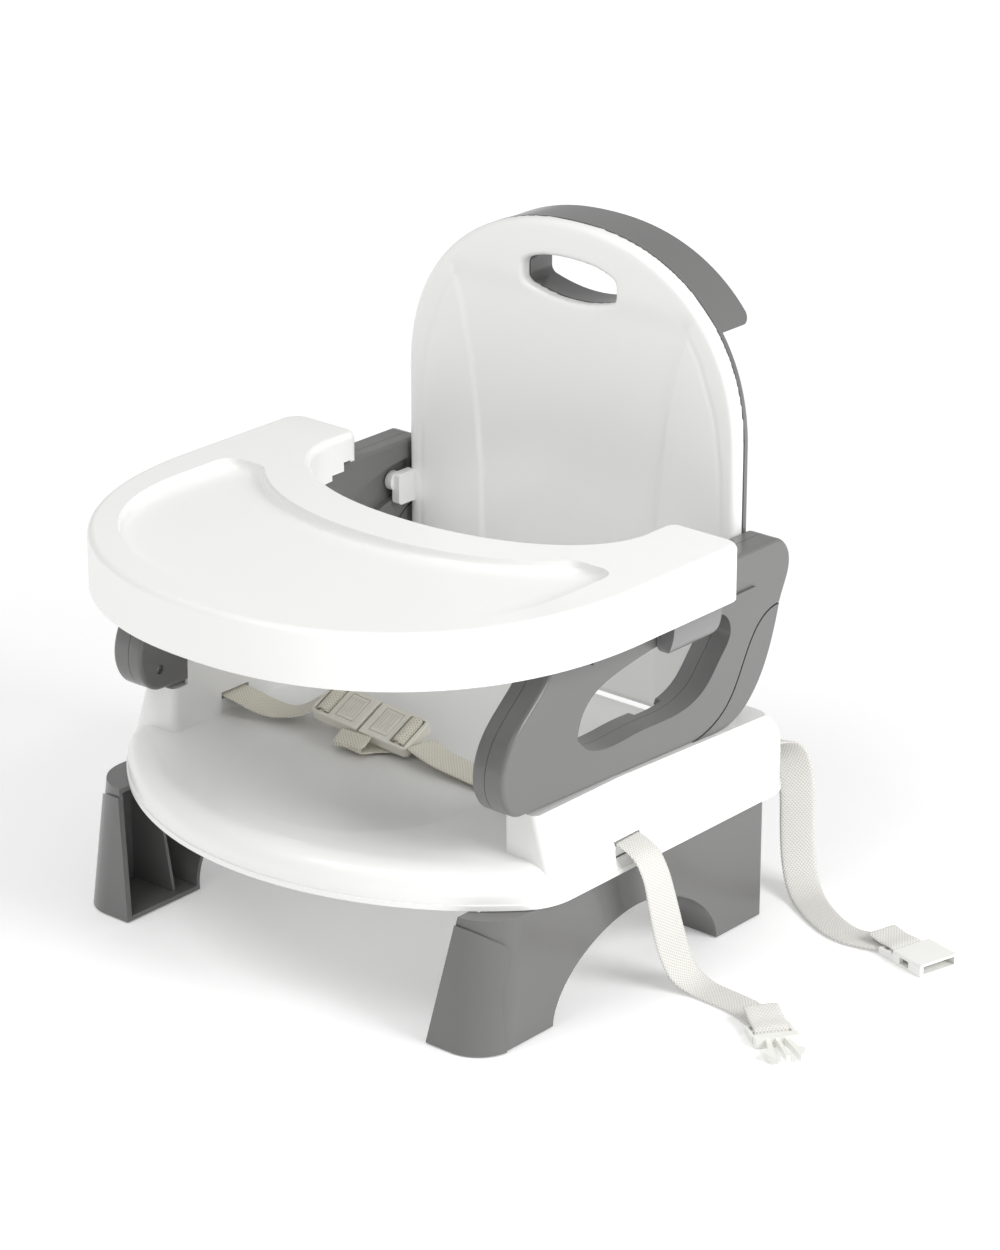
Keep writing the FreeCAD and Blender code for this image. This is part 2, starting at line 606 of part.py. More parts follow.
def tray():
    outer = tray_block(0, TRAY_BOTTOM, TRAY_TOP)
    outer = fillet(outer, 4.5, at_height(TRAY_TOP))
    cavity = tray_block(TRAY_WALL, TRAY_BOTTOM - 1, TRAY_TOP - WALL)
    cavity = cavity.cut(tray_dish(2.5, TRAY_TOP - 10.5, TRAY_TOP))
    body = outer.cut(cavity)
    middle_skirt = [Vector(u, CUT_Y - v, TRAY_BOTTOM - 1)
                    for u, v in half_superellipse(CUT_HALF + 3.2, CUT_DEPTH + 3.2, 2.1)]
    a, b = middle_skirt[0], middle_skirt[-1]
    c, d = Vector(b.x, 120, b.z), Vector(a.x, 120, a.z)
    trim = prism([spline(middle_skirt), line(b, c), line(c, d), line(d, a)],
                 Vector(0, 0, 9.0))
    body = body.cut(trim)
    for side in (-1, 1):
        x0, x1 = sorted((side * 130, side * (CUT_HALF + 3.2)))
        body = body.cut(box(x0, x1, 76, 120, TRAY_BOTTOM - 1, TRAY_BOTTOM + 12))
        body = body.cut(box(x0, x1, 88, 120, TRAY_BOTTOM - 1, TRAY_BOTTOM + 18.5))
        x0, x1 = sorted((side * (CUT_HALF + 2), side * 178))
        body = body.cut(box(x0, x1, 92, 120, TRAY_BOTTOM - 1, ARM_TOP + 1.5))
    extras = []
    for x in (152.0, 165.5):
        runner = box(x, x + 2.4, -62, 100, ARM_TOP + 0.4, TRAY_TOP - 2)
        extras += [runner, mirrored(runner)]
    for y in (LATCH_Y[0] - 4, LATCH_Y[1] + 1):
        px, pz = LATCH_PIVOT
        lug = box(px - 5, px + 5, y, y + 3, pz - 5, TRAY_TOP - 2)
        lug = lug.cut(rod(1.5, (px, y - 1, pz), (px, y + 4, pz)))
        extras += [lug, mirrored(lug)]
    body = fused([body] + extras)
    dish = fillet(tray_dish(0, TRAY_TOP - 7, TRAY_TOP + 2), 4.0, at_height(TRAY_TOP - 7))
    return body.cut(dish)


def tray_latch():
    """A lever on a lengthwise pin; its rounded lip hooks under the ledge on the arm."""
    px, pz = LATCH_PIVOT
    y0, y1 = LATCH_Y
    outside = [(px + 3.2, pz), (px + 1.4, 253.0), (px + 1.0, 241.0), (px - 0.8, 232.0), (px - 5.0, 225.0),
               (px - 10.0, 222.2)]
    inside = [(px - 13.4, 223.6), (px - 13.4, 235.4), (px - 10.6, 235.4), (px - 6.8, 240.0), (px - 4.6, 247.0),
              (px - 3.2, pz)]
    out_points = [Vector(x, y0, z) for x, z in outside]
    in_points = [Vector(x, y0, z) for x, z in inside]
    edges = [spline(out_points[:]), line(out_points[-1], in_points[0])]
    edges += [line(in_points[i], in_points[i + 1]) for i in range(len(in_points) - 1)]
    edges.append(line(in_points[-1], out_points[0]))
    plate = prism(edges, Vector(0, y1 - y0, 0))
    keep = box(150, 210, y0, y1, 210, 275)
    keep = fillet(keep, 9.0, lambda e: e.BoundBox.XLength > 1 and abs(middle(e).z - 210) < 0.01)
    keep.translate(Vector(0, 0, 222.2 - 210))
    plate = plate.common(keep)
    barrel = rod(3.6, (px, y0, pz), (px, y1, pz))
    body = plate.fuse(barrel).cut(box(px - 5, px + 5, 66, 76, pz - 5, pz + 5))
    return body.cut(rod(1.55, (px, y0 - 1, pz), (px, y1 + 1, pz))).removeSplitter()


# ---- harness ----
def buckle_place(shape):
    """Buckle pieces are drawn flat and then laid on the seat, tipped as they lie."""
    a, w = Vector(0.988, 0.083, -0.128), Vector(-0.027, 0.914, 0.406)
    n = a.cross(w)
    w = n.cross(a)
    m = Matrix(a.x, w.x, n.x, BUCKLE_AT.x, a.y, w.y, n.y, BUCKLE_AT.y, a.z, w.z, n.z, BUCKLE_AT.z, 0, 0, 0, 1)
    placed = shape.copy()
    placed.Placement = Placement(m)
    return placed


def buckle_half(side):
    """One half of the harness buckle: a box end with a button well, and a frame for the webbing."""
    body = box(1.0, 41, -15, 15, -4.0, 4.5)
    body = fillet(body, 4.0, lambda e: e.BoundBox.ZLength > 1 and middle(e).x > 30)
    body = fillet(body, 1.2, at_height(4.5))
    body = body.cut(box(7, 22, -11, 11, 0.5, 6))
    body = body.cut(box(26, 30.2, -13, 13, -6, 6)).cut(box(34.0, 38.2, -13, 13, -6, 6))
    if side < 0:
        body = mirrored(body).cut(box(-12, 0, -9, 9, -1.5, 0))
    else:
        body = body.fuse(box(-10, 2, -8.6, 8.6, -1.3, -0.2))
    return buckle_place(body)


def buckle_button(side):
    body = box(7.4, 21.6, -10.6, 10.6, 2.4, 4.9)
    body = fillet(body, 0.7, at_height(4.9))
    for i in range(5):
        groove = box(9.0 + 2.4 * i, 10.0 + 2.4 * i, -8, 8, 4.4, 6)
        body = body.cut(groove)
    if side < 0:
        body = mirrored(body)
    return buckle_place(body)


# ---- webbing ----
def route_path(points):
    """Straight runs joined by tangent arcs, each as large as its two runs allow."""
    edges, radii, at = [], [], points[0]
    for i in range(1, len(points) - 1):
        before, after = points[i] - points[i - 1], points[i + 1] - points[i]
        turn = before.getAngle(after)
        cut_back = 0.45 * min(before.Length, after.Length)
        radius = cut_back / math.tan(turn / 2)
        start = points[i] - before * (cut_back / before.Length)
        end = points[i] + after * (cut_back / after.Length)
        inward = (start + end) * 0.5 - points[i]
        to_centre = math.hypot(radius, cut_back)
        mid = points[i] + inward * ((to_centre - radius) / inward.Length)
        edges += [line(at, start), arc(start, mid, end)]
        radii.append(radius)
        at = end
    edges.append(line(at, points[-1]))
    return Part.Wire(edges), radii


def webbing(name, route, across, turns=4):
    """Flat webbing lofted along a route; across gives the direction of its width at each point."""
    points = [Vector(*p) for p in route]
    wire, radii = route_path(points)
    widths = [Vector(*w) for w in across]
    stations, reach = [], [0.0]
    for i in range(1, len(points)):
        reach.append(reach[-1] + (points[i] - points[i - 1]).Length)
    total, run = sum(e.Length for e in wire.Edges), 0.0
    for edge in wire.Edges:
        steps = turns if edge.Curve.TypeId == "Part::GeomCircle" else 1
        for k in range(steps + 1):
            if k == 0 and stations:
                continue
            u = edge.FirstParameter + (edge.LastParameter - edge.FirstParameter) * k / steps
            stations.append((edge.valueAt(u), edge.tangentAt(u), run + edge.Length * k / steps))
        run += edge.Length
    sections = []
    for at, along, length in stations:
        want = length / total * reach[-1]
        i = max(j for j in range(len(reach) - 1) if reach[j] <= want + 1e-9)
        share = min(1.0, (want - reach[i]) / (reach[i + 1] - reach[i]))
        w = widths[i] * (1 - share) + widths[i + 1] * share
        w = (w - along * w.dot(along)).normalize()
        up = w.cross(along).normalize()
        w, up = w * (WEB / 2), up * (WEB_T / 2)
        corners = [at + w + up, at - w + up, at - w - up, at + w - up]
        sections.append(Part.Wire(polygon(corners)))
    solid = Part.makeLoft(sections, True, True)
    print(name, "length", round(total, 1), "radii", [round(r) for r in radii],
          "volume ratio", round(solid.Volume / (total * WEB * WEB_T), 3))
    return solid


SIDE_ROUTE = [(186.5, 1.5, 111.2), (200, 2, 108), (207, 6, 92), (207, 14, 66), (206, 24, 36), (209, 32, 12),
              (222, 36, 1.4), (243, 35, 1.0), (262, 33, 1.4), (278, 27, 1.2), (290.2, 18.7, 2.9)]
SIDE_ACROSS = [(0, 1, 0)] * 3 + [(0.1, 1, 0), (0.2, 1, 0), (0.1, 1, 0), (0, 1, 0), (0.05, 1, 0), (0.2, 1, 0),
                                 (0.45, 1, 0), (0.6, 0.9, 0)]
REAR_ROUTE = [(164, 172.5, 117.5), (165.5, 190, 116.5), (171, 201, 100), (175, 203, 74), (175, 203, 46),
              (178, 202, 18), (191, 193, 3), (213, 178, 1.2), (236, 166, 1.0), (257, 162, 1.4), (277, 168, 3.0)]
REAR_ACROSS = [(1, 0, 0), (1, 0.1, 0), (0.8, 0.5, 0), (0.7, 0.75, 0), (0.65, 0.8, 0), (0.6, 0.85, 0),
               (0.55, 0.9, 0), (0.5, 1, 0), (0.4, 1, 0), (0, 1, 0), (-0.3, 1, 0)]
LEFT_WAIST = [(-159, -16.5, 130), (-141, -16.5, 130), (-122, -13, 123.5), (-105, -6.5, 121.5),
              (-91, -1, 127.5), (-80.6, 1.6, 135.9)]
LEFT_ACROSS = [(0, 1, 0)] * 4 + [(0, 0.95, 0.3), (0, 0.914, 0.406)]
RIGHT_WAIST = [(159, -16.5, 130), (141, -16, 130), (118, -12, 123), (88, -4, 119.2), (55, 1, 119.0),
               (20, 4, 120.0), (3, 7, 124)]
CROTCH = [(0, 20.8, 105), (0, 19.6, 116.4), (-8, 13, 117.2), (-22, 6, 116.6), (-33, -4, 116.4),
          (-36.5, -17, 117.2), (-37, -22, 119.4), (-37.5, -20.5, 122.6), (-39, -10.5, 126.2)]
CROTCH_ACROSS = [(1, 0, 0), (1, 0, 0), (0.8, -0.6, 0), (0.6, -0.8, 0), (0.9, -0.45, 0), (1, -0.1, 0)]
CROTCH_ACROSS += [(1, 0.05, -0.1)] * 3
PLUG_AT = Vector(300.0, 11.5, 0.0)
PLUG_TURN = -36.0
SOCKET_AT = Vector(284.0, 170.0, 0.0)
SOCKET_TURN = -14.0


def laid(shape, at, turn):
    placed = shape.copy()
    placed.Placement = Placement(at, FreeCAD.Rotation(Vector(0, 0, 1), turn))
    return placed


def strap_plug():
    """Side-release plug: a webbing frame, a shoulder, two sprung prongs and a centre guide."""
    frame = box(-12, 6, -15, 15, 0.4, 5.4).cut(box(-9, -4.4, -13, 13, -1, 8)).cut(box(-1.6, 3.0, -13, 13, -1, 8))
    shoulder = box(6, 12, -15, 15, 0.4, 7.4)
    shoulder = fillet(shoulder, 1.5, lambda e: e.BoundBox.ZLength > 1)
    prongs = []
    for side in (-1, 1):
        base = [Vector(11, side * 7.5, 1.6), Vector(24, side * 10, 1.6), Vector(27, side * 14.5, 1.6),
                Vector(33, side * 12.5, 1.6), Vector(39, side * 7.5, 1.6), Vector(34, side * 7.2, 1.6),
                Vector(11, side * 4.6, 1.6)]
        prongs.append(prism(polygon(base), Vector(0, 0, 4.4)))
    guide = box(11, 36, -1.4, 1.4, 1.6, 6.0)
    return laid(fused([frame, shoulder, guide] + prongs), PLUG_AT, PLUG_TURN)


def strap_socket():
    """Side-release socket: a webbing frame and a flat sleeve, open at the mouth and at both sides."""
    frame = box(0, 17, -15, 15, 0.4, 5.4).cut(box(2.6, 7.0, -13, 13, -1, 8)).cut(box(10.2, 14.6, -13, 13, -1, 8))
    sleeve = box(16, 44, -16.5, 16.5, 0.4, 9.6)
    sleeve = fillet(sleeve, 2.0, lambda e: e.BoundBox.XLength > 1 and e.BoundBox.YLength < 0.1)
    sleeve = sleeve.cut(box(19, 46, -13.5, 13.5, 2.2, 7.8))
    sleeve = sleeve.cut(box(23, 32, -20, 20, 2.6, 7.4))
    return laid(fused([frame, sleeve]), SOCKET_AT, SOCKET_TURN)


def strap_tail(at, turn, x0, x1):
    """The short free end beyond the frame, folded back over the strap."""
    body = box(x0, x1, -WEB / 2, WEB / 2, 5.9, 5.9 + WEB_T)
    return laid(body, at, turn)


def main():
    os.makedirs("parts", exist_ok=True)
    px, pz = LEG_PIVOT
    save("seat_base", seat_base())
    save_pair("leg", leg())
    save_pair("leg_corner_cover", leg_corner_cover())
    save_pair("foot_pads", Part.makeCompound(pad_blocks()))
    pins = [rod(2.5, (px, y - 8.6, pz), (px, y + 8.6, pz)) for y in LEG_STATIONS]
    save_pair("leg_hinge_pins", Part.makeCompound(pins))
    save_pair("arm_outer_shell", arm_half(False))
    save_pair("arm_inner_shell", arm_half(True))
    save_pair("arm_rear_cover", arm_rear_cover())
    save("arm_screws", arm_screws())
    save("backrest_front_panel", backrest_front_panel())
    save("backrest_rear_shell", backrest_rear_shell())
    save("backrest_screws", backrest_screws())
    save_pair("backrest_guide", backrest_guide())
    save_pair("backrest_hinge_pin", rod(4.0, (138, PIVOT_Y, PIVOT_Z), (159, PIVOT_Y, PIVOT_Z)))
    save("tray", tray())
    save_pair("tray_latch", tray_latch())
    lx, lz = LATCH_PIVOT
    save_pair("tray_latch_pin", rod(1.5, (lx, LATCH_Y[0] - 3.8, lz), (lx, LATCH_Y[1] + 3.8, lz)))
    spring = rod(3.0, (lx, 67, lz), (lx, 75, lz)).cut(rod(1.8, (lx, 60, lz), (lx, 80, lz)))
    save_pair("tray_latch_spring", spring)
    save("harness_receiver", buckle_half(-1))
    save("harness_plug", buckle_half(1))
    save("harness_button_left", buckle_button(-1))
    save("harness_button_right", buckle_button(1))
    save("waist_strap_left", webbing("waist left", LEFT_WAIST, LEFT_ACROSS))
    save("waist_strap_right", webbing("waist right", RIGHT_WAIST, [(0, 1, 0)] * 7))
    save("crotch_strap", webbing("crotch", CROTCH, CROTCH_ACROSS))
    bar = rod(3.0, (162.2, -33, 130), (162.2, 1, 130))
    save("waist_anchor_bars", Part.makeCompound([bar, mirrored(bar)]))
    save("side_strap", webbing("side strap", SIDE_ROUTE, SIDE_ACROSS))
    save("side_strap_plug", strap_plug())
    save("side_strap_tail", strap_tail(PLUG_AT, PLUG_TURN, -36.0, -3.0))
    save("rear_strap", webbing("rear strap", REAR_ROUTE, REAR_ACROSS))
    save("rear_strap_socket", strap_socket())
    save("rear_strap_tail", strap_tail(SOCKET_AT, SOCKET_TURN, -16.0, 9.0))


main()
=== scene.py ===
import math

import bmesh
import bpy
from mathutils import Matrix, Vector


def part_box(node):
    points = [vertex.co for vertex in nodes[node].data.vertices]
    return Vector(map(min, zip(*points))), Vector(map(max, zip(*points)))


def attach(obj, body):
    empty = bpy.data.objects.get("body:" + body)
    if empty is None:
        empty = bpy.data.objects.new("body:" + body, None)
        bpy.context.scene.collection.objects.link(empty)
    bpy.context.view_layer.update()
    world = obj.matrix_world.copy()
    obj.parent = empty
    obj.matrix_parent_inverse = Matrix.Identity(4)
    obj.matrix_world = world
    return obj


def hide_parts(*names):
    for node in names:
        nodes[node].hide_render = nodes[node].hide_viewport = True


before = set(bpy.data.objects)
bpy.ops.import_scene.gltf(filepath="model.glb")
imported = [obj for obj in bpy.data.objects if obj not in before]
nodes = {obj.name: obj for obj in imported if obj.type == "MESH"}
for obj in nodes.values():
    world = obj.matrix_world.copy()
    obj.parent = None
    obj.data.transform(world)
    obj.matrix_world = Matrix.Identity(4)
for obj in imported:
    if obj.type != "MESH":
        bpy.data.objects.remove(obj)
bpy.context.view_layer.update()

MM = 0.001
WEB = 25 * MM
WEB_T = 1.5 * MM
YARN = 2.8 * MM
YARN_ACROSS = 2.4 * MM
TURN_WEB = 24.6 * MM
TAIL_WEB = 24.4 * MM
STRAP_STEP = 0.8 * MM
SECTION_COLUMNS = 14


def mm(points):
    return [tuple(c * MM for c in p) for p in points]


# ---- camera ----
AZIMUTH, ELEVATION = math.radians(40.57), math.radians(21.85)
DISTANCE = 2.9169
AIM = Vector((0.0, 0.093, 0.1836))
FOCAL_PX, FRAME_PX = 4268.5, 1250
SENSOR_MM = 36


def make_camera():
    away = Vector((math.sin(AZIMUTH) * math.cos(ELEVATION), -math.cos(AZIMUTH) * math.cos(ELEVATION),
                   math.sin(ELEVATION)))
    data = bpy.data.cameras.new("camera")
    data.lens = FOCAL_PX / FRAME_PX * SENSOR_MM
    data.sensor_width = SENSOR_MM
    data.sensor_fit = "AUTO"
    data.clip_end = 50
    camera = bpy.data.objects.new("camera", data)
    bpy.context.scene.collection.objects.link(camera)
    camera.location = AIM + away * DISTANCE
    camera.rotation_euler = away.to_track_quat("Z", "Y").to_euler()
    bpy.context.scene.camera = camera


make_camera()


# ---- material helpers ----
def new_material(name):
    material = bpy.data.materials.new(name)
    material.use_nodes = True
    tree = material.node_tree
    return material, tree, tree.nodes["Principled BSDF"]


def add(tree, kind, **settings):
    node = tree.nodes.new(kind)
    for key, value in settings.items():
        if key in node.inputs:
            node.inputs[key].default_value = value
        else:
            setattr(node, key, value)
    return node


def ramp(tree, source, low, high, start=0.3, end=0.7):
    node = add(tree, "ShaderNodeMapRange")
    node.inputs["From Min"].default_value = start
    node.inputs["From Max"].default_value = end
    node.inputs["To Min"].default_value = low
    node.inputs["To Max"].default_value = high
    tree.links.new(source, node.inputs["Value"])
    return node.outputs["Result"]


def mix_colour(tree, factor, a, b):
    node = add(tree, "ShaderNodeMix", data_type="RGBA")
    node.inputs["A"].default_value = (*a, 1)
    node.inputs["B"].default_value = (*b, 1)
    tree.links.new(factor, node.inputs["Factor"])
    return node.outputs["Result"]


def plastic(name, colour, tint, roughness):
    """Moulded plastic: slow colour drift, uneven gloss, and the faint swell of a moulded skin."""
    material, tree, shader = new_material(name)
    coord = add(tree, "ShaderNodeTexCoord")
    drift = add(tree, "ShaderNodeTexNoise", Scale=5.0, Detail=1.0)
    swell = add(tree, "ShaderNodeTexNoise", Scale=24.0, Detail=0.0)
    gloss = add(tree, "ShaderNodeTexNoise", Scale=11.0, Detail=1.0)
    for texture in (drift, swell, gloss):
        tree.links.new(coord.outputs["Object"], texture.inputs["Vector"])
    tree.links.new(mix_colour(tree, ramp(tree, drift.outputs["Fac"], 0, 1), colour, tint),
                   shader.inputs["Base Color"])
    tree.links.new(ramp(tree, gloss.outputs["Fac"], roughness * 0.92, roughness * 1.08),
                   shader.inputs["Roughness"])
    bump = add(tree, "ShaderNodeBump", Strength=0.12, Distance=0.0006)
    tree.links.new(swell.outputs["Fac"], bump.inputs["Height"])
    tree.links.new(bump.outputs["Normal"], shader.inputs["Normal"])
    shader.inputs["IOR"].default_value = 1.5
    shader.inputs["Coat Weight"].default_value = 0.25
    shader.inputs["Coat Roughness"].default_value = 0.1
    return material


def metal(name, colour, roughness):
    material, tree, shader = new_material(name)
    coord = add(tree, "ShaderNodeTexCoord")
    brushed = add(tree, "ShaderNodeTexNoise", Scale=400.0, Detail=4.0)
    tree.links.new(coord.outputs["Object"], brushed.inputs["Vector"])
    tree.links.new(ramp(tree, brushed.outputs["Fac"], roughness * 0.7, roughness * 1.3),
                   shader.inputs["Roughness"])
    tree.links.new(mix_colour(tree, brushed.outputs["Fac"], colour, [c * 0.8 for c in colour]),
                   shader.inputs["Base Color"])
    shader.inputs["Metallic"].default_value = 1.0
    return material


def rubber(name):
    material, tree, shader = new_material(name)
    coord = add(tree, "ShaderNodeTexCoord")
    grain = add(tree, "ShaderNodeTexNoise", Scale=700.0, Detail=4.0)
    tree.links.new(coord.outputs["Object"], grain.inputs["Vector"])
    tree.links.new(mix_colour(tree, grain.outputs["Fac"], (0.05, 0.05, 0.05), (0.09, 0.09, 0.085)),
                   shader.inputs["Base Color"])
    bump = add(tree, "ShaderNodeBump", Strength=0.5, Distance=0.0004)
    tree.links.new(grain.outputs["Fac"], bump.inputs["Height"])
    tree.links.new(bump.outputs["Normal"], shader.inputs["Normal"])
    shader.inputs["Roughness"].default_value = 0.85
    return material


def waves(tree, source, period):
    """A ribbed wave from -1 to 1 along one coordinate, in metres."""
    scaled = add(tree, "ShaderNodeMath", operation="MULTIPLY")
    tree.links.new(source, scaled.inputs[0])
    scaled.inputs[1].default_value = 2 * math.pi / period
    wave = add(tree, "ShaderNodeMath", operation="SINE")
    tree.links.new(scaled.outputs[0], wave.inputs[0])
    return wave.outputs[0]


def woven(name, colour, painted_hollow_shade):
    """Plain-weave webbing from the mesh's own map: u runs along the strap and v across, in metres. The
    weave's low places take the darker colour, which is painted shade in the hollows between the yarns; the
    fuzz adds random fibre tone.
    """
    material, tree, shader = new_material(name)
    uv = add(tree, "ShaderNodeUVMap", uv_map="strap")
    split = add(tree, "ShaderNodeSeparateXYZ")
    tree.links.new(uv.outputs["UV"], split.inputs["Vector"])
    warp = waves(tree, split.outputs["X"], YARN)
    weft = waves(tree, split.outputs["Y"], YARN_ACROSS)
    checks = add(tree, "ShaderNodeMath", operation="MULTIPLY")
    tree.links.new(warp, checks.inputs[0])
    tree.links.new(weft, checks.inputs[1])
    rows = waves(tree, split.outputs["X"], YARN / 2)
    height = add(tree, "ShaderNodeMath", operation="MULTIPLY_ADD")
    tree.links.new(rows, height.inputs[0])
    height.inputs[1].default_value = 0.45
    tree.links.new(checks.outputs[0], height.inputs[2])
    fuzz = add(tree, "ShaderNodeTexNoise", Scale=1600.0, Detail=3.0)
    coord = add(tree, "ShaderNodeTexCoord")
    tree.links.new(coord.outputs["Object"], fuzz.inputs["Vector"])
    rough = add(tree, "ShaderNodeMath", operation="MULTIPLY_ADD")
    tree.links.new(fuzz.outputs["Fac"], rough.inputs[0])
    rough.inputs[1].default_value = 0.8
    tree.links.new(height.outputs[0], rough.inputs[2])
    bump = add(tree, "ShaderNodeBump", Strength=0.6, Distance=0.00016)
    tree.links.new(rough.outputs[0], bump.inputs["Height"])
    tree.links.new(bump.outputs["Normal"], shader.inputs["Normal"])
    # painted shade: the colour goes darker where the weave lies low between the yarns, with random fibre
    # tone from the fuzz on top
    tree.links.new(mix_colour(tree, ramp(tree, rough.outputs[0], 0, 1, -1.0, 1.1), painted_hollow_shade, colour),
                   shader.inputs["Base Color"])
    shader.inputs["Roughness"].default_value = 0.85
    shader.inputs["Sheen Weight"].default_value = 0.25
    shader.inputs["Sheen Roughness"].default_value = 0.5
    return material


WHITE = plastic("white_plastic", (0.865, 0.865, 0.855), (0.85, 0.85, 0.835), 0.33)
GREY = plastic("grey_plastic", (0.150, 0.150, 0.148), (0.138, 0.137, 0.135), 0.31)
LIGHT_GREY = plastic("latch_plastic", (0.205, 0.206, 0.206), (0.192, 0.193, 0.193), 0.31)
CREAM = plastic("harness_plastic", (0.85, 0.83, 0.745), (0.82, 0.80, 0.71), 0.36)
BUCKLE = plastic("buckle_plastic", (0.84, 0.84, 0.81), (0.81, 0.81, 0.77), 0.34)
STEEL = metal("steel", (0.56, 0.56, 0.55), 0.3)
RUBBER = rubber("rubber")
WEBBING = woven("webbing", (0.79, 0.78, 0.75), (0.50, 0.49, 0.45))
HARNESS_WEBBING = woven("harness_webbing", (0.87, 0.84, 0.74), (0.52, 0.48, 0.38))


# ---- webbing ----
def route_spline(name, points):
    """A smooth NURBS line through a route's neighbourhood, and the points it passes through."""
    curve = bpy.data.curves.new(name + "_line", "CURVE")
    curve.dimensions = "3D"
    spline = curve.splines.new("NURBS")
    spline.points.add(len(points) - 1)
    for point, place in zip(spline.points, points):
        point.co = (*place, 1.0)
    spline.order_u = 3
    spline.use_endpoint_u = True
    spline.resolution_u = 12
    holder = bpy.data.objects.new(name + "_line", curve)
    bpy.context.scene.collection.objects.link(holder)
    bpy.context.view_layer.update()
    mesh = bpy.data.meshes.new_from_object(holder)
    path = [v.co.copy() for v in mesh.vertices]
    bpy.data.objects.remove(holder)
    bpy.data.meshes.remove(mesh)
    return path


def running_lengths(points):
    lengths = [0.0]
    for a, b in zip(points, points[1:]):
        lengths.append(lengths[-1] + (b - a).length)
    return lengths


def width_direction(widths, knots, share):
    """The strap's width direction, blended between the route's points."""
    want = share * knots[-1]
    k = max(j for j in range(len(knots) - 1) if knots[j] <= want + 1e-9)
    blend = min(1.0, (want - knots[k]) / (knots[k + 1] - knots[k]))
    return widths[k].lerp(widths[k + 1], blend)


def strap_section(s, width, thickness):
    """The webbing's outline at one place: offsets across and up, thin and beaded at both edges."""
    loop = 0.5 + 0.5 * math.cos(2 * math.pi * s / YARN)
    outline = []
    for half in (1, -1):
        for j in range(SECTION_COLUMNS + 1):
            t = (2 * j / SECTION_COLUMNS - 1) * half
            edge = abs(t) ** 14
            across = width / 2 * t * (1 - 0.035 * edge * loop)
            up = thickness / 2 * half * (1 - 0.72 * edge)
            outline.append((across, up, (s, t * width / 2)))
    return outline


def strap_mesh(name, route, across, material, width=WEB):
    """Webbing that follows a route, with a map along and across it in metres."""
    points = [Vector(p) for p in mm(route)]
    path = route_spline(name, points)
    reach = running_lengths(path)
    knots = running_lengths(points)
    widths = [Vector(w).normalized() for w in across]
    count = max(8, int(reach[-1] / STRAP_STEP))
    mesh = bmesh.new()
    layer = mesh.loops.layers.uv.new("strap")
    rings = []
    piece = 0
    for i in range(count + 1):
        s = reach[-1] * i / count
        while piece < len(path) - 2 and reach[piece + 1] < s:
            piece += 1
        share = (s - reach[piece]) / max(1e-9, reach[piece + 1] - reach[piece])
        at = path[piece].lerp(path[piece + 1], share)
        before = path[max(0, piece - 1)]
        after = path[min(len(path) - 1, piece + 2)]
        along = (after - before).normalized()
        side = width_direction(widths, knots, s / reach[-1])
        side = (side - along * side.dot(along)).normalized()
        up = side.cross(along)
        rings.append([(mesh.verts.new(at + side * a + up * b), uv)
                      for a, b, uv in strap_section(s, width, WEB_T)])
    size = len(rings[0])
    for first, second in zip(rings, rings[1:]):
        for j in range(size):
            corners = [first[j], first[(j + 1) % size], second[(j + 1) % size], second[j]]
            face = mesh.faces.new([c[0] for c in corners])
            face.smooth = True
            for corner, made in zip(corners, face.loops):
                made[layer].uv = corner[1]
    mesh.faces.new([c[0] for c in rings[0][::-1]])
    mesh.faces.new([c[0] for c in rings[-1]])
    bmesh.ops.recalc_face_normals(mesh, faces=mesh.faces)
    data = bpy.data.meshes.new(name)
    mesh.to_mesh(data)
    mesh.free()
    data.materials.append(material)
    strap = bpy.data.objects.new(name, data)
    bpy.context.scene.collection.objects.link(strap)
    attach(strap, "seat")
    return strap, path


SIDE_ROUTE = [(186.5, 1.5, 111.2), (200, 2, 108), (207, 6, 92), (207, 14, 66), (206, 24, 36), (209, 32, 12),
              (222, 36, 1.4), (243, 35, 1.0), (262, 33, 1.4), (278, 27, 1.2), (290.2, 18.7, 2.9)]
SIDE_ACROSS = [(0, 1, 0)] * 3 + [(0.1, 1, 0), (0.2, 1, 0), (0.1, 1, 0), (0, 1, 0), (0.05, 1, 0), (0.2, 1, 0),
                                 (0.45, 1, 0), (0.6, 0.9, 0)]
REAR_ROUTE = [(164, 172.5, 117.5), (165.5, 190, 116.5), (171, 201, 100), (175, 203, 74), (175, 203, 46),
              (178, 202, 18), (191, 193, 3), (213, 178, 1.2), (236, 166, 1.0), (257, 162, 1.4),
              (277, 168, 3.0)]
REAR_ACROSS = [(1, 0, 0), (1, 0.1, 0), (0.8, 0.5, 0), (0.7, 0.75, 0), (0.65, 0.8, 0), (0.6, 0.85, 0),
               (0.55, 0.9, 0), (0.5, 1, 0), (0.4, 1, 0), (0, 1, 0), (-0.3, 1, 0)]
LEFT_WAIST = [(-159, -16.5, 130), (-141, -16.5, 130), (-122, -13, 123.5), (-105, -6.5, 121.5),
              (-91, -1, 127.5), (-80.6, 1.6, 135.9)]
LEFT_ACROSS = [(0, 1, 0)] * 4 + [(0, 0.95, 0.3), (0, 0.914, 0.406)]
RIGHT_WAIST = [(159, -16.5, 130), (141, -16, 130), (118, -12, 123), (88, -4, 119.2), (55, 1, 119.0),
               (20, 4, 120.0), (3, 7, 124)]
CROTCH = [(0, 20.8, 105), (0, 19.6, 116.4), (-8, 13, 117.2), (-22, 6, 116.6), (-33, -4, 116.4),
          (-36.5, -17, 117.2), (-37, -22, 119.4), (-37.5, -20.5, 122.6), (-39, -10.5, 126.2)]
CROTCH_ACROSS = [(1, 0, 0), (1, 0, 0), (0.8, -0.6, 0), (0.6, -0.8, 0), (0.9, -0.45, 0), (1, -0.1, 0)]
CROTCH_ACROSS += [(1, 0.05, -0.1)] * 3


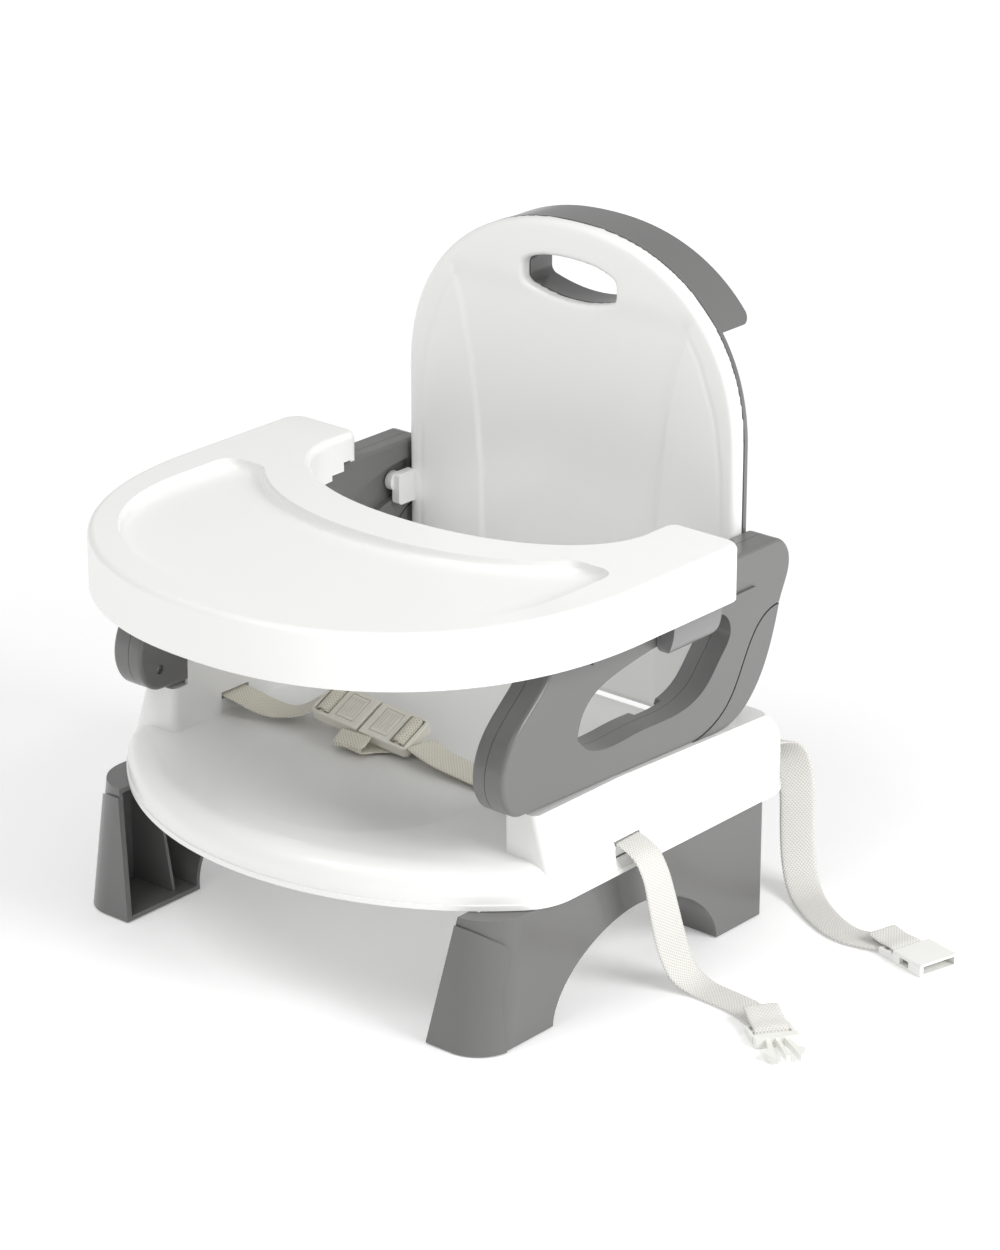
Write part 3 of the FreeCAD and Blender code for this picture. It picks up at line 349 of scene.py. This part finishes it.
PLUG_AT, PLUG_TURN = (300.0, 11.5), -36.0
PLUG_FOLD = [(-0.3, 1.2), (-0.4, 4.6), (-2.4, 6.9), (-7, 7.2), (-13, 7.6), (-20, 9.6), (-27, 10.6)]
SOCKET_AT, SOCKET_TURN = (284.0, 170.0), -14.0
SOCKET_FOLD = [(12.4, 1.4), (12.2, 4.8), (9.4, 7.0), (4, 7.2), (-3, 6.6), (-10, 7.6), (-15, 8.2)]
BUCKLE_AT = Vector((-40.0, 5.0, 131.0))
BUCKLE_LONG = Vector((0.988, 0.083, -0.128)).normalized()
BUCKLE_UP = BUCKLE_LONG.cross(Vector((-0.027, 0.914, 0.406))).normalized()
BUCKLE_WIDE = BUCKLE_UP.cross(BUCKLE_LONG)
BAR_TURN = [(27.6, -1.5), (27.9, 3.6), (29.2, 6.2), (32.1, 7.0), (35.0, 6.2), (36.3, 3.6), (36.6, -1.5)]


def strap_tail(name, at, turn, outline):
    """The sewn free end: through the buckle's frame and back over the strap, lifting a little."""
    c, s = math.cos(math.radians(turn)), math.sin(math.radians(turn))
    route = [(at[0] + x * c, at[1] + x * s, z) for x, z in outline]
    tail, _ = strap_mesh(name + "_webbing", route, [(-s, c, 0)] * len(route), WEBBING, width=TAIL_WEB)
    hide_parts(name)
    return tail


def chair_straps():
    plug_tail = strap_tail("side_strap_tail", PLUG_AT, PLUG_TURN, PLUG_FOLD)
    socket_tail = strap_tail("rear_strap_tail", SOCKET_AT, SOCKET_TURN, SOCKET_FOLD)
    for name, route, across, length, plug, tail in (
            ("side_strap", SIDE_ROUTE, SIDE_ACROSS, 0.2027, "side_strap_plug", plug_tail),
            ("rear_strap", REAR_ROUTE, REAR_ACROSS, 0.2337, "rear_strap_socket", socket_tail)):
        strap, path = strap_mesh(name + "_webbing", route, across, WEBBING)
        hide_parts(name)


def harness_straps():
    for name, route, across in (
            ("waist_strap_left", LEFT_WAIST, LEFT_ACROSS),
            ("waist_strap_right", RIGHT_WAIST, [(0, 1, 0)] * 7),
            ("crotch_strap", CROTCH, CROTCH_ACROSS)):
        strap, _ = strap_mesh(name + "_webbing", route, across, HARNESS_WEBBING)
        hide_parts(name)


def buckle_wraps():
    """Where each waist strap turns over the bar of its buckle half."""
    for side, name in ((-1, "left"), (1, "right")):
        route = [BUCKLE_AT + BUCKLE_LONG * (side * x) + BUCKLE_UP * z for x, z in BAR_TURN]
        strap_mesh("waist_strap_turn_" + name, route, [BUCKLE_WIDE] * len(route),
                   HARNESS_WEBBING, width=TURN_WEB)


chair_straps()
harness_straps()
buckle_wraps()


# ---- finishes of the moulded pieces ----
def finish_of(name):
    if name.startswith("foot_pads"):
        return RUBBER
    if "screws" in name or "pin" in name or "spring" in name or name == "waist_anchor_bars":
        return STEEL
    if name.startswith("tray_latch"):
        return LIGHT_GREY
    if name.startswith(("leg", "arm", "backrest_rear_shell")):
        return GREY
    if name.startswith("harness"):
        return CREAM
    if name.startswith(("side_strap", "rear_strap")):
        return BUCKLE
    return WHITE


def finish_nodes():
    for name, piece in nodes.items():
        piece.data.materials.clear()
        piece.data.materials.append(finish_of(name))


finish_nodes()


# ---- backrest panel: the CAD shape with its soft mould lines ----
PANEL_DIP, GROOVE = 1.4 * MM, 0.6 * MM
CREASE = [(0.118, 0.077), (0.261, 0.079), (0.303, 0.083), (0.340, 0.088), (0.383, 0.098), (0.410, 0.110)]
RIM_LINE = [(0.118, 0.1335), (0.261, 0.1335), (0.307, 0.132), (0.342, 0.127), (0.378, 0.1135), (0.41, 0.093)]


def along_curve(curve, height):
    for (z0, x0), (z1, x1) in zip(curve, curve[1:]):
        if height <= z1:
            share = max(0.0, (height - z0) / (z1 - z0))
            return x0 + (x1 - x0) * share
    return curve[-1][1]


def smooth_step(value, low, high):
    t = min(1.0, max(0.0, (value - low) / (high - low)))
    return t * t * (3 - 2 * t)


def remoulded(name, body, voxel, rounds):
    """A fine, even copy of a CAD node's mesh, with its edges eased as a mould leaves them."""
    piece = bpy.data.objects.new(name + "_moulded", nodes[name].data.copy())
    bpy.context.scene.collection.objects.link(piece)
    weld = piece.modifiers.new("weld", "WELD")
    weld.merge_threshold = 0.00001
    remesh = piece.modifiers.new("remesh", "REMESH")
    remesh.mode = "VOXEL"
    remesh.voxel_size = voxel
    ease = piece.modifiers.new("ease", "SMOOTH")
    ease.factor = 0.5
    ease.iterations = rounds
    bpy.context.view_layer.update()
    depsgraph = bpy.context.evaluated_depsgraph_get()
    made = bpy.data.meshes.new_from_object(piece.evaluated_get(depsgraph))
    piece.modifiers.clear()
    piece.data = made
    made.polygons.foreach_set("use_smooth", [True] * len(made.polygons))
    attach(piece, body)
    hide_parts(name)
    return piece


def backrest_panel():
    piece = remoulded("backrest_front_panel", "backrest", 0.0016, 4)
    low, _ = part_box("backrest_front_panel")
    for vertex in piece.data.vertices:
        place = vertex.co
        if place.y > low.y + 0.002:
            continue
        side, height = abs(place.x), place.z
        fade = 1 - smooth_step(height, 0.392, 0.412)
        crease = along_curve(CREASE, height)
        middle = 1 - smooth_step(side, crease - 0.003, crease + 0.001)
        line = (side - along_curve(RIM_LINE, height)) / (1.6 * MM)
        place.y += PANEL_DIP * middle * fade + GROOVE * math.exp(-line * line) * fade
    piece.data.materials.clear()
    piece.data.materials.append(WHITE)
    piece.data.update()


backrest_panel()


# ---- floor and light ----
def floor():
    """A pale floor that glows a little, and more with distance, so that it stays white behind the object."""
    material, tree, shader = new_material("floor")
    shader.inputs["Base Color"].default_value = (0.9, 0.9, 0.9, 1)
    shader.inputs["Roughness"].default_value = 0.6
    shader.inputs["Emission Color"].default_value = (1, 1, 1, 1)
    coord = add(tree, "ShaderNodeTexCoord")
    reach = add(tree, "ShaderNodeVectorMath", operation="LENGTH")
    tree.links.new(coord.outputs["Object"], reach.inputs[0])
    tree.links.new(ramp(tree, reach.outputs["Value"], 0.2, 0.55, 0.6, 2.5),
                   shader.inputs["Emission Strength"])
    mesh = bmesh.new()
    bmesh.ops.create_grid(mesh, x_segments=1, y_segments=1, size=12)
    data = bpy.data.meshes.new("floor")
    mesh.to_mesh(data)
    mesh.free()
    data.materials.append(material)
    plane = bpy.data.objects.new("floor", data)
    plane.location = (0, 0, -0.0002)
    bpy.context.scene.collection.objects.link(plane)


def area_light(name, place, target, size, power):
    data = bpy.data.lights.new(name, "AREA")
    data.shape = "RECTANGLE"
    data.size, data.size_y = size
    data.energy = power
    light = bpy.data.objects.new(name, data)
    light.location = place
    light.rotation_euler = (Vector(place) - Vector(target)).to_track_quat("Z", "Y").to_euler()
    bpy.context.scene.collection.objects.link(light)


def lights():
    world = bpy.data.worlds.new("studio")
    world.use_nodes = True
    world.node_tree.nodes["Background"].inputs["Color"].default_value = (1, 1, 1, 1)
    world.node_tree.nodes["Background"].inputs["Strength"].default_value = 0.54
    bpy.context.scene.world = world
    area_light("key", (2.4, 0.3, 1.5), (0, 0, 0.2), (1.3, 1.3), 50)
    area_light("top", (-0.3, -1.6, 2.9), (0, 0, 0.2), (1.6, 1.6), 32)


floor()
lights()

bpy.context.scene.view_settings.view_transform = "Standard"
